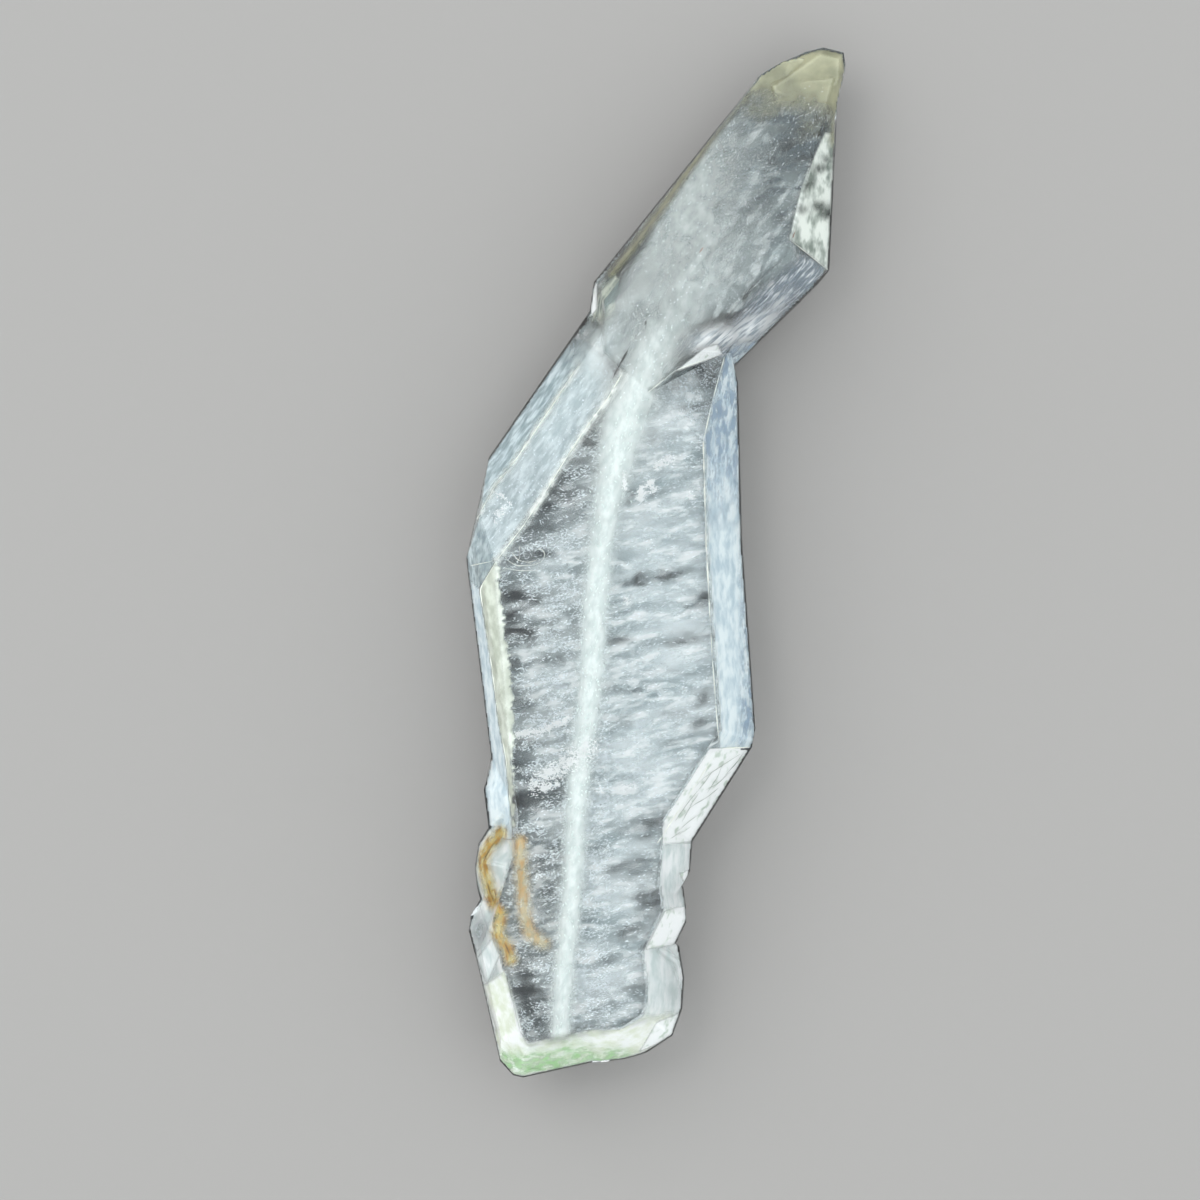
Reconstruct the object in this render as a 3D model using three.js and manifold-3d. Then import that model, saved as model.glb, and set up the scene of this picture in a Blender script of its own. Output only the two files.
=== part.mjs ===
// A faden quartz crystal: a flattened, bent blade of clear quartz lying on its broad back face.
// It is one solid, made of blades that grew into one another. Millimetres, +Z up, with the origin
// under the middle of its box. +Y runs along the blade to the thin broken tip, and +Z is the broad
// front face.

import * as THREE from "three";
import { mergeVertices } from "three/addons/utils/BufferGeometryUtils.js";
import Module from "manifold-3d";

const wasm = await Module();
wasm.setup();

// Driving sizes
const length = 60;
const width = 22.1;
const thickness = 7.6;
const girdle = 3.7;
const lowerEnd = -length / 2;
const upperEnd = length / 2;
const leftSide = -width / 2;
const rightSide = width / 2;

// Slopes of the quartz faces from the plane of the blade, in degrees
const prism = 60;
const steep = 73;
const upright = 84;
const rhomb = 52;

// A closed mesh as a solid that can be cut and joined
const toSolid = (geometry) => {
  const bare = geometry.clone();
  bare.deleteAttribute("normal");
  bare.deleteAttribute("uv");
  const merged = mergeVertices(bare, 1e-5);
  const mesh = new wasm.Mesh({
    numProp: 3,
    vertProperties: new Float32Array(merged.attributes.position.array),
    triVerts: new Uint32Array(merged.index.array),
  });
  return new wasm.Manifold(mesh);
};

// The solid's outside as a mesh with flat faces
const toGeometry = (solid) => {
  const mesh = solid.getMesh();
  const shared = new THREE.BufferGeometry();
  shared.setAttribute("position", new THREE.BufferAttribute(mesh.vertProperties, 3));
  shared.setIndex(new THREE.BufferAttribute(mesh.triVerts, 1));
  const faceted = shared.toNonIndexed();
  faceted.computeVertexNormals();
  return faceted;
};

// Cuts a solid with the plane through three points and keeps the side that holds the point inside
const facet = (solid, a, b, c, inside) => {
  const plane = new THREE.Plane().setFromCoplanarPoints(
    new THREE.Vector3(...a),
    new THREE.Vector3(...b),
    new THREE.Vector3(...c),
  );
  if (plane.distanceToPoint(inside) < 0) {
    plane.negate();
  }
  return solid.trimByPlane(plane.normal.toArray(), -plane.constant);
};

// One blade: a plate between a back and a front height whose every edge carries a front and a back
// facet. They meet at the girdle and lean inwards at their slopes. A corner is x, y, the front slope
// and the back slope of the edge that starts there, and an extra face is three points on its plane.
const blade = ({ corners, back = 0, front = thickness, level = girdle, faces = [] }) => {
  const shape = new THREE.Shape(corners.map(([x, y]) => new THREE.Vector2(x, y)));
  const plate = new THREE.ExtrudeGeometry(shape, { depth: front - back, bevelEnabled: false });
  plate.translate(0, 0, back);
  const middle = new THREE.Vector2();
  corners.forEach(([x, y]) => middle.add(new THREE.Vector2(x, y)));
  middle.divideScalar(corners.length);
  const inside = new THREE.Vector3(middle.x, middle.y, level);
  let solid = toSolid(plate);
  corners.forEach(([x, y, frontSlope, backSlope], i) => {
    const [nextX, nextY] = corners[(i + 1) % corners.length];
    const along = new THREE.Vector2(nextX - x, nextY - y).normalize();
    const inward = new THREE.Vector2(-along.y, along.x);
    const lean = (slope, rise) => {
      const angle = THREE.MathUtils.degToRad(slope);
      const run = inward.clone().multiplyScalar(Math.cos(angle));
      return [x + run.x, y + run.y, level + rise * Math.sin(angle)];
    };
    const start = [x, y, level];
    const end = [nextX, nextY, level];
    solid = facet(solid, start, end, lean(frontSlope, 1), inside);
    solid = facet(solid, start, end, lean(backSlope, -1), inside);
  });
  faces.forEach(([a, b, c]) => {
    solid = facet(solid, a, b, c, inside);
  });
  return solid;
};

// The main blade, the widest part of the plate. Its left side is slanted and carries two long bands,
// its upper right end falls away under the upper blade, and below that it has a wide right bevel.
const mainBlade = blade({
  corners: [
    [4.77, 10.4, upright, prism],
    [4.37, 12.34, upright, prism],
    [-0.93, 15.25, upright, prism],
    [-3.86, 14.58, prism, prism],
    [-9.72, 6.1, upright, steep],
    [leftSide, 0.2, steep, prism],
    [-9.05, -15.7, upright, prism],
    [-7, -19, upright, prism],
    [0.2, -19.31, prism, prism],
    [5.31, -11.21, prism + 1, prism],
  ],
  faces: [
    [[-9.31, 4.37, 6.1], [-5.8, 9.3, 6.1], [-7.68, 2.04, thickness]],
    [[-9.31, -0.64, thickness], [-8.44, -11.2, thickness], [-10.19, -1.57, 6.2]],
    [[-9.25, 0, thickness], [-10.19, -1.57, 6.2], [-10.94, -0.1, 5.1]],
    [[-0.47, 9.72, thickness], [2.68, 7, thickness], [4.07, 12.16, 4.9]],
  ],
});

// A blade that outgrew the main one along its lower right edge, down to the bright slanted end face
const rightLedge = blade({
  corners: [
    [-1, 1.3, upright, upright],
    [-1, -19.6, upright, upright],
    [0, -19.63, prism, rhomb],
    [5.59, -10.77, upright, prism],
    [5.78, -9.7, prism + 1, prism],
    [5, 1.3, upright, prism],
  ],
});

// The blade below the main one, with its own right bevel
const lowerBlade = blade({
  corners: [
    [-8, -12, upright, upright],
    [-9.2, -15.5, steep, prism],
    [-9.5, -19.5, steep, prism],
    [-9, -24.4, upright, prism],
    [-2.2, -24.4, upright, prism],
    [1.5, -18.95, upright, prism],
    [1.98, -18, prism + 4, prism],
    [2.14, -16, upright, prism],
    [0, -12, upright, upright],
  ],
});

// The small stepped blade on the lower right, whose end face repeats the bright one above it
const rightStep = blade({
  corners: [
    [-3, -18.9, upright, prism],
    [-3, -23.2, upright, prism],
    [0.66, -23.2, prism + 6, prism],
    [1.76, -20.95, upright, prism],
    [1.74, -20, prism + 10, prism],
    [1.58, -18.9, upright, prism],
    [0.4, -18.3, upright, prism],
  ],
});

// The foot, in two blades side by side. The left one ends in the lowest point of the crystal.
const footLeft = blade({
  corners: [
    [-8.6, -16.6, upright, prism],
    [-10.52, -22.8, steep + 4, prism],
    [-9.08, -29.04, prism, prism],
    [-8.32, -29.86, prism, prism],
    [-7.75, lowerEnd, prism, prism],
    [-3.2, -29, upright, prism],
    [-2.2, -27.6, upright, prism],
    [-1.7, -24, upright, prism],
    [-2.6, -16.6, upright, prism],
  ],
  faces: [
    [[-9.49, -25.3, 5.6], [-8.96, -27.5, 5.6], [-8.03, -26.25, thickness]],
    [[-7.57, -27.85, thickness], [-3.1, -27, thickness], [-5.4, -29.6, girdle]],
  ],
});

const footRight = blade({
  corners: [
    [-5.6, -21.4, upright, prism],
    [-5.2, -29.12, prism, prism],
    [-1.75, -29.1, prism, prism],
    [-0.9, -28.78, prism, prism],
    [0.96, -27.55, prism, prism],
    [1.52, -26, prism, prism],
    [1.64, -24.2, prism, prism],
    [1.34, -22.35, steep, prism],
    [0, -21, upright, prism],
  ],
  faces: [
    [[0, -26.66, 6.2], [-1.4, -26.77, thickness], [1.3, -27.3, 3.9]],
    [[-4.9, -27.53, thickness], [-1.4, -26.77, thickness], [-3.2, -29.1, girdle]],
  ],
});

// Three small knobs that grew out of the left edge, one below the other
const upperKnob = blade({
  front: 5.9,
  back: 1.2,
  corners: [
    [-9.6, -11.35, prism, prism],
    [-10.02, -13.25, prism, rhomb],
    [-9.74, -15.5, rhomb, prism],
    [-8, -15.9, upright, upright],
    [-8, -11, upright, upright],
  ],
});

const middleKnob = blade({
  front: 7.1,
  back: 0.5,
  corners: [
    [-9, -14.9, rhomb, prism],
    [-9.72, -15.42, prism, prism],
    [-10.33, -16.4, steep, prism],
    [-10.55, -17.8, steep, prism],
    [-10.4, -19, prism, prism],
    [-10.05, -20.2, rhomb, prism],
    [-9.2, -21.9, upright, upright],
    [-6.8, -21.9, upright, upright],
    [-6.8, -15.2, upright, upright],
  ],
  faces: [[[-9.95, -16.6, 6.1], [-10.05, -19.2, 6.1], [-8.9, -18, 7.1]]],
});

const lowerKnob = blade({
  front: 6.9,
  back: 0.8,
  corners: [
    [-10.15, -19.5, rhomb, prism],
    [-10.78, -20.6, steep, prism],
    [-10.9, -21.5, prism, prism],
    [-10.5, -22.95, steep, prism],
    [-9.85, -25.4, upright, prism],
    [-8.2, -25.4, upright, upright],
    [-8.2, -19.4, upright, upright],
  ],
  faces: [
    [[-9.37, -21.9, 6.9], [-9.14, -22.7, 6.9], [-10.3, -22.9, 5.4]],
    [[-9.4, -20, 6.9], [-9.37, -21.9, 6.9], [-10.5, -21.1, 5.7]],
  ],
});

// The upper blade leans to the right and thins towards the tip. Its right half has the large end
// face along the re-entrant corner, and a steep front face that stands over the main blade.
const upperRight = blade({
  front: 8.6,
  corners: [
    [-0.93, 9.5, upright, upright],
    [4.83, 10.48, prism - 2, prism],
    [10.08, 16.98, prism - 4, prism],
    [10.5, 25.4, prism, prism],
    [10.6, 28.2, upright, upright],
    [6.6, 27.9, upright, upright],
    [-3.4, 15.2, upright, upright],
    [-3.4, 12, upright, upright],
  ],
  faces: [
    [[-0.52, 9.66, thickness], [2.85, 12.7, 8], [1.4, 16.06, 8]],
    [[1.4, 16.06, 8], [7.33, 27.6, 4.4], [7.68, 18.5, 7.3]],
    [[-0.52, 9.66, thickness], [3.84, 12.1, 5.05], [2.85, 12.7, 8]],
    [[1.4, 16.06, 8], [7.33, 27.6, 4.4], [-0.64, 18.86, 6.3]],
    [[-2, 13, 0], [6, 13, 0], [9, 27, 1.9]],
  ],
});

// Its left half: one long sloping face from the ridge and a steep strip along the left edge
const upperLeft = blade({
  front: 8.6,
  corners: [
    [-3.3, 13.2, upright, prism],
    [3, 13.4, upright, upright],
    [9.6, 26.5, upright, upright],
    [8.6, 29.4, upright, prism],
    [7.33, 29.1, upright, prism],
    [6.05, 28.34, steep, prism],
    [0.22, 21.07, steep, prism],
    [-3.62, 16.28, steep, steep],
    [-3.86, 14.58, upright, prism],
  ],
  faces: [
    [[1.4, 16.06, 8], [7.33, 27.6, 4.4], [-0.64, 18.86, 6.3]],
    [[-2.33, 15.48, 6.6], [1.11, 21.42, 5.9], [-3.2, 16.8, 4.6]],
    [[-0.52, 9.66, thickness], [2.85, 12.7, 8], [1.4, 16.06, 8]],
    [[1.4, 16.06, 8], [5.6, 21.9, 6.46], [7, 20.5, 6.3]],
    [[5.6, 21.9, 6.46], [7.33, 27.6, 4.4], [8.2, 23, 5.5]],
    [[-2, 13, 0.3], [6, 13, 0.3], [9, 27, 2.1]],
  ],
});

// The broken tip, thin and slightly wider than the blade it ends
const tip = blade({
  level: 3,
  front: 4.6,
  back: 1.9,
  corners: [
    [6, 28.2, prism, rhomb],
    [5.9, 26.4, upright, prism],
    [8.2, 24.6, upright, upright],
    [10.3, 25.2, steep, prism],
    [10.62, 26.7, prism, prism],
    [10.9, 27.3, steep, prism],
    [rightSide, 29, prism, rhomb],
    [10.95, 29.7, rhomb, prism],
    [9.75, upperEnd, prism, rhomb],
    [8.75, 29.75, rhomb, prism],
    [7.4, 29.15, prism, prism],
  ],
  faces: [[[7.33, 27.2, 4.6], [9.6, 26.4, 4.6], [9, 29.6, 3.7]]],
});

// A scoop of broken quartz: an ellipsoid that is cut out of an edge
const scoop = ([x, y, z], [radiusX, radiusY, radiusZ], turn) => {
  const ball = new THREE.SphereGeometry(1, 12, 8);
  ball.scale(radiusX, radiusY, radiusZ);
  ball.rotateZ(THREE.MathUtils.degToRad(turn));
  ball.translate(x, y, z);
  return toSolid(ball);
};

// Shell-shaped chips along the broken tip and the worn left edge below it
const chips = [
  scoop([7, 29.5, 4.6], [1.1, 0.7, 0.9], 25),
  scoop([8.3, 29.9, 4.9], [0.9, 0.8, 1.3], 10),
  scoop([10.4, 30.1, 4.8], [1, 0.7, 1.4], -15),
  scoop([11.3, 28, 4.7], [0.7, 0.9, 1.1], 5),
  scoop([2.7, 24.6, 4.6], [1.3, 0.45, 0.9], 51),
  scoop([-0.9, 20.2, 4.6], [1.1, 0.4, 0.8], 50),
];

const growths = [
  mainBlade,
  rightLedge,
  lowerBlade,
  rightStep,
  footLeft,
  footRight,
  upperKnob,
  middleKnob,
  lowerKnob,
  upperRight,
  upperLeft,
  tip,
];
const joined = growths.reduce((whole, part) => whole.add(part));
const chipped = chips.reduce((whole, chip) => whole.subtract(chip), joined);

const quartz = new THREE.MeshStandardMaterial({
  color: 0xd5dfe2,
  roughness: 0.06,
  metalness: 0,
  transparent: true,
  opacity: 0.45,
});

const crystal = new THREE.Mesh(toGeometry(chipped), quartz);
crystal.name = "crystal";

const group = new THREE.Group();
group.add(crystal);

export default group;
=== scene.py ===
import math

import bmesh
import bpy
import numpy as np
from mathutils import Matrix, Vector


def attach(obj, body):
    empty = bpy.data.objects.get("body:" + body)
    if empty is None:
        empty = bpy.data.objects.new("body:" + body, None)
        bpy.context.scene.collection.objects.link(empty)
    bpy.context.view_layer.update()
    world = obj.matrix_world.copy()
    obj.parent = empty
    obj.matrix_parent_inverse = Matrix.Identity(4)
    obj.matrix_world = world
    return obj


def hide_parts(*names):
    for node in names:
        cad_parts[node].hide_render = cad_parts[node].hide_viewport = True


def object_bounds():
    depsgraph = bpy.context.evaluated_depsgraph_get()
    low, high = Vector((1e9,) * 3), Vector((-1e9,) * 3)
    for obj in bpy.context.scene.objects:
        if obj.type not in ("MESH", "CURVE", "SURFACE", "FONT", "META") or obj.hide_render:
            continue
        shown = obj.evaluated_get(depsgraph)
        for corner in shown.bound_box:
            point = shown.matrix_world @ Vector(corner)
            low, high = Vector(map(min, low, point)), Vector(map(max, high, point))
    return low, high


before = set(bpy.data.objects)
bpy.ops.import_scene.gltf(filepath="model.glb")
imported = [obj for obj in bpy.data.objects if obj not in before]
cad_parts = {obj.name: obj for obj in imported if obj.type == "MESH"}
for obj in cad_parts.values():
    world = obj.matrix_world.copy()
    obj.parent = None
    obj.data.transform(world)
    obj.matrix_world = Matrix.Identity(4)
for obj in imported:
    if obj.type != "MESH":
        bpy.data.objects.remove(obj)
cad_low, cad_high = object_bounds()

# Camera. The crystal lies on its back and the lens looks straight down on its broad front face, so
# that the top of the picture is +Y. One millimetre of the crystal's girdle is as large as in the
# 1200 px photograph, where its 60 mm take up 1031 px.
MM = 0.001
PHOTO_SIDE = 1200
CRYSTAL_PX = 1031
CRYSTAL_LENGTH = (cad_high.y - cad_low.y) / MM
PX = CRYSTAL_LENGTH / CRYSTAL_PX
CRYSTAL_CENTRE_PX = (656, 562)
GIRDLE_HEIGHT = 3.7
LENS = 200
SENSOR = 36


def photo(px, py):
    """A pixel of the photograph as x and y on the crystal in millimetres, from the box's centre."""
    return (px - CRYSTAL_CENTRE_PX[0]) * PX, (CRYSTAL_CENTRE_PX[1] - py) * PX


camera_data = bpy.data.cameras.new("camera")
camera_data.lens = LENS
camera_data.sensor_width = SENSOR
camera_data.clip_end = 10
camera = bpy.data.objects.new("camera", camera_data)
middle_x, middle_y = photo(PHOTO_SIDE / 2, PHOTO_SIDE / 2)
distance = PHOTO_SIDE * PX * LENS / SENSOR
camera.location = (middle_x * MM, middle_y * MM, (GIRDLE_HEIGHT + distance) * MM)
bpy.context.scene.collection.objects.link(camera)
bpy.context.scene.camera = camera
bpy.context.scene.view_settings.view_transform = "Standard"


# Floor. A plain sheet of pale matt paper, larger than the view, so that no seam or edge shows. It
# lies just under the face that the crystal rests on.
def linear(code):
    """An sRGB hex colour as linear RGBA: (c / 255) undone by the sRGB curve."""
    parts = [int(code[i : i + 2], 16) / 255 for i in (1, 3, 5)]
    curve = [c / 12.92 if c <= 0.04045 else ((c + 0.055) / 1.055) ** 2.4 for c in parts]
    return (*curve, 1)


def node(tree, kind, settings=(), links=()):
    """Adds a node, sets its attributes or inputs by name, and links inputs to the given outputs."""
    made = tree.nodes.new(kind)
    for name, value in dict(settings).items():
        if isinstance(name, str) and hasattr(made, name):
            setattr(made, name, value)
        else:
            made.inputs[name].default_value = value
    for name, source in dict(links).items():
        tree.links.new(source, made.inputs[name])
    return made


def surface(name, settings):
    """A material with one Principled shader that holds these constant values."""
    material = bpy.data.materials.new(name)
    material.use_nodes = True
    tree = material.node_tree
    tree.nodes.clear()
    shader = node(tree, "ShaderNodeBsdfPrincipled", settings)
    node(tree, "ShaderNodeOutputMaterial", links={"Surface": shader.outputs["BSDF"]})
    return material, tree, shader


def solid_object(name, points, faces, material):
    """A mesh object at the origin from points in millimetres and lists of point numbers."""
    mesh = bpy.data.meshes.new(name)
    mesh.from_pydata((np.asarray(points) * MM).tolist(), [], faces)
    mesh.materials.append(material)
    made = bpy.data.objects.new(name, mesh)
    bpy.context.scene.collection.objects.link(made)
    return made


FLOOR_HALF = 900
FLOOR_DROP = 0.02
CORNERS = [(-1, -1), (1, -1), (1, 1), (-1, 1)]
# Uncoated paper scatters light evenly, so it has no gloss.
floor_paper, _, _ = surface("pale_matt_paper", {"Base Color": linear("#938f8d"), "Roughness": 0.9})
floor = solid_object(
    "floor",
    [(x * FLOOR_HALF, y * FLOOR_HALF, -FLOOR_DROP) for x, y in CORNERS],
    [(0, 1, 2, 3)],
    floor_paper,
)

# Light. A soft dome, faintly cool like an overcast sky, and one large softbox to the upper left.
# Light that enters the quartz bounces many times between its faces and the white veils before it
# comes out again, so the paths are long and are not blurred.
DOME_TINT = (0.92, 0.985, 1.0, 1)
DOME_STRENGTH = 1.6
SOFTBOX_SIDE = 600
SOFTBOX_PLACE = (-450, 350, 600)
SOFTBOX_TURN = (-28, -35, 0)
SOFTBOX_WATTS = 1.9
world = bpy.data.worlds.new("studio_dome")
world.use_nodes = True
bpy.context.scene.world = world
dome = world.node_tree
dome.nodes.clear()
glow = node(dome, "ShaderNodeBackground", {"Color": DOME_TINT, "Strength": DOME_STRENGTH})
node(dome, "ShaderNodeOutputWorld", links={"Surface": glow.outputs["Background"]})

softbox_data = bpy.data.lights.new("softbox", "AREA")
softbox_data.shape = "RECTANGLE"
softbox_data.size = SOFTBOX_SIDE * MM
softbox_data.size_y = SOFTBOX_SIDE * MM
softbox_data.energy = SOFTBOX_WATTS
softbox = bpy.data.objects.new("softbox", softbox_data)
softbox.location = [place * MM for place in SOFTBOX_PLACE]
softbox.rotation_euler = [math.radians(turn) for turn in SOFTBOX_TURN]
bpy.context.scene.collection.objects.link(softbox)

bpy.context.scene.cycles.blur_glossy = 0
bpy.context.scene.cycles.max_bounces = 8
bpy.context.scene.cycles.diffuse_bounces = 5
bpy.context.scene.cycles.glossy_bounces = 4
bpy.context.scene.cycles.transparent_max_bounces = 12

# Crystal. One flattened crystal of quartz whose blades grew into one another without a seam. Its
# faces are natural growth faces, clear and glossy, and its edges are worn a little round.
WORN_WIDTH = 0.05
FLAT_WITHIN = 0.5
SHARP_FROM = 8
MERGE_WITHIN = 0.001
# Rock crystal bends light by 1.544 and takes up only a little of it, the red first.
clear_quartz, quartz_tree, _ = surface(
    "clear_quartz",
    {"Base Color": linear("#ffffff"), "Roughness": 0.02, "IOR": 1.544, "Transmission Weight": 1},
)
quartz_output = next(n for n in quartz_tree.nodes if n.type == "OUTPUT_MATERIAL")
tint = node(quartz_tree, "ShaderNodeVolumeAbsorption", {"Color": linear("#b9c8d2"), "Density": 10})
quartz_tree.links.new(tint.outputs["Volume"], quartz_output.inputs["Volume"])

cad_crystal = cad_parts["crystal"]
shape = bmesh.new()
shape.from_mesh(cad_crystal.data)
bmesh.ops.remove_doubles(shape, verts=shape.verts, dist=MERGE_WITHIN * MM)
bmesh.ops.dissolve_limit(
    shape, angle_limit=math.radians(FLAT_WITHIN), verts=shape.verts, edges=shape.edges
)
crystal_mesh = bpy.data.meshes.new("quartz_blade")
shape.to_mesh(crystal_mesh)
shape.free()
crystal_mesh.shade_flat()
crystal_mesh.materials.append(clear_quartz)
crystal = bpy.data.objects.new("quartz_blade", crystal_mesh)
bpy.context.scene.collection.objects.link(crystal)
worn = crystal.modifiers.new("worn_edges", "BEVEL")
worn.width = WORN_WIDTH * MM
worn.segments = 2
worn.limit_method = "ANGLE"
worn.angle_limit = math.radians(SHARP_FROM)
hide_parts("crystal")
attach(crystal, "root")

# Thread. The faden, a white line of countless fluid and gas bubbles, left where the crystal kept
# cracking and healing as it grew. It lies sealed in the quartz just under the front face: a lumpy
# core, a soft glow before it that opens upwards into a milky fan, and flecks on its flanks.
THREAD = [
    (560, 1047), (564, 968), (570, 914), (574, 860), (576, 812), (580, 767), (586, 721), (592, 676),
    (595, 608), (600, 555), (608, 500), (618, 450), (630, 405), (644, 370), (664, 330), (690, 280),
]
CORE_TOP = 335
FLECKS_FOOT = 1050
GLOW_FOOT = 1052
THREAD_BOX = (530, 300, 760, 1050)
CORE_DEPTH = 0.6
CORE_RINGS = 420
CORE_SIDES = 14
GLOW_DEPTH = 0.3
LOW_SWELL = (-22, -4)
HIGH_SWELL = (2, 9)
FAN_SWELL = (10, 16)
GLOW_SWELL = (10, 19)
# The charts have a point every tenth of a millimetre, and half a fleck is shorter than two of these.
GRID = 0.1
REACH = 2
FILM_THICKNESS = 0.03
LEAST_SHARE = 0.03
SKIN_ROOM = 0.05
ROUNDS = 80
DRAWS = 200000
FLECK_TILT = 0.14


def height_maps(mesh):
    """A chart of front and back heights: the highest and lowest triangle over each grid point.

    The two narrowed charts hold the least front and the most back within the reach of one fleck.
    """
    mesh.calc_loop_triangles()
    points = np.empty(len(mesh.vertices) * 3)
    mesh.vertices.foreach_get("co", points)
    points = points.reshape(-1, 3) / MM
    corners = np.empty(len(mesh.loop_triangles) * 3, np.int32)
    mesh.loop_triangles.foreach_get("vertices", corners)
    low = points.min(0)[:2] - GRID * (REACH + 1)
    counts = np.ceil((points.max(0)[:2] + GRID * (REACH + 1) - low) / GRID).astype(int) + 1
    front = np.full(counts, -np.inf)
    back = np.full(counts, np.inf)
    for a, b, c in points[corners.reshape(-1, 3)]:
        area = (b[0] - a[0]) * (c[1] - a[1]) - (b[1] - a[1]) * (c[0] - a[0])
        if abs(area) < 1e-9:
            continue
        first = np.floor((np.minimum(np.minimum(a, b), c)[:2] - low) / GRID).astype(int)
        last = np.ceil((np.maximum(np.maximum(a, b), c)[:2] - low) / GRID).astype(int) + 1
        across = low[0] + GRID * np.arange(first[0], last[0])[:, None]
        along = low[1] + GRID * np.arange(first[1], last[1])[None, :]
        v = ((across - a[0]) * (c[1] - a[1]) - (along - a[1]) * (c[0] - a[0])) / area
        w = ((b[0] - a[0]) * (along - a[1]) - (b[1] - a[1]) * (across - a[0])) / area
        height = a[2] + v * (b[2] - a[2]) + w * (c[2] - a[2])
        over = (v >= -1e-6) & (w >= -1e-6) & (v + w <= 1 + 1e-6)
        window = (slice(first[0], last[0]), slice(first[1], last[1]))
        front[window] = np.maximum(front[window], np.where(over, height, -np.inf))
        back[window] = np.minimum(back[window], np.where(over, height, np.inf))
    steps = [(i, j) for i in range(-REACH, REACH + 1) for j in range(-REACH, REACH + 1)]
    narrow_front = np.min([np.roll(front, step, (0, 1)) for step in steps], axis=0)
    narrow_back = np.max([np.roll(back, step, (0, 1)) for step in steps], axis=0)
    return low, front, back, narrow_front, narrow_back


map_corner, skin_map, under_map, front_map, back_map = height_maps(cad_crystal.data)


def look_up(chart, x, y, nowhere):
    """A chart's value over points, mixed from the four grid points round each."""
    u = np.clip((x - map_corner[0]) / GRID, 0, chart.shape[0] - 1.001)
    v = np.clip((y - map_corner[1]) / GRID, 0, chart.shape[1] - 1.001)
    i, j = u.astype(int), v.astype(int)
    u, v = u - i, v - j
    four = [chart[i, j], chart[i + 1, j], chart[i, j + 1], chart[i + 1, j + 1]]
    shares = [(1 - u) * (1 - v), u * (1 - v), (1 - u) * v, u * v]
    known = np.all(np.isfinite(four), axis=0)
    mixed = sum(np.where(np.isfinite(f), f, 0) * s for f, s in zip(four, shares))
    return np.where(known, mixed, nowhere)


def cloud(u, v, seed):
    """Smooth noise from 0 to 1: random values on a unit grid, blended between its corners."""
    values = np.random.default_rng(seed).random((256, 256))
    i, j = np.floor(u).astype(int), np.floor(v).astype(int)
    s, t = u - i, v - j
    s, t = s * s * (3 - 2 * s), t * t * (3 - 2 * t)
    a, b = values[i % 256, j % 256], values[(i + 1) % 256, j % 256]
    c, d = values[i % 256, (j + 1) % 256], values[(i + 1) % 256, (j + 1) % 256]
    return (a * (1 - s) + b * s) * (1 - t) + (c * (1 - s) + d * s) * t


def soft_step(value, low, high):
    """0 below low, 1 above high and an S-curve between them."""
    t = np.clip((value - low) / (high - low), 0, 1)
    return t * t * (3 - 2 * t)


def smooth(values, reach):
    """A row of numbers averaged with its neighbours by a bell, its ends held."""
    bell = np.hanning(2 * reach + 3)[1:-1]
    return np.convolve(np.pad(values, reach, mode="edge"), bell / bell.sum(), "valid")


def polyline(line):
    """A line of photo pixels as an array of points in millimetres."""
    return np.array([photo(*p) for p in line])


def tube_faces(first, rings, sides):
    """Squares from each ring of points to the next, and one face over each end, facing outwards."""
    corner = np.arange(sides)
    after = (corner + 1) % sides
    base = first + (np.arange(rings - 1) * sides)[:, None]
    squares = np.stack([base + corner, base + sides + corner, base + sides + after, base + after], 2)
    last = first + (rings - 1) * sides
    return squares.reshape(-1, 4).tolist() + [(first + corner).tolist(), (last + corner[::-1]).tolist()]


def sealed(name, points, faces, material):
    """A closed piece inside the quartz, which goes where the crystal goes."""
    made = solid_object(name, points, faces, material)
    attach(made, "root")
    return made


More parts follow.
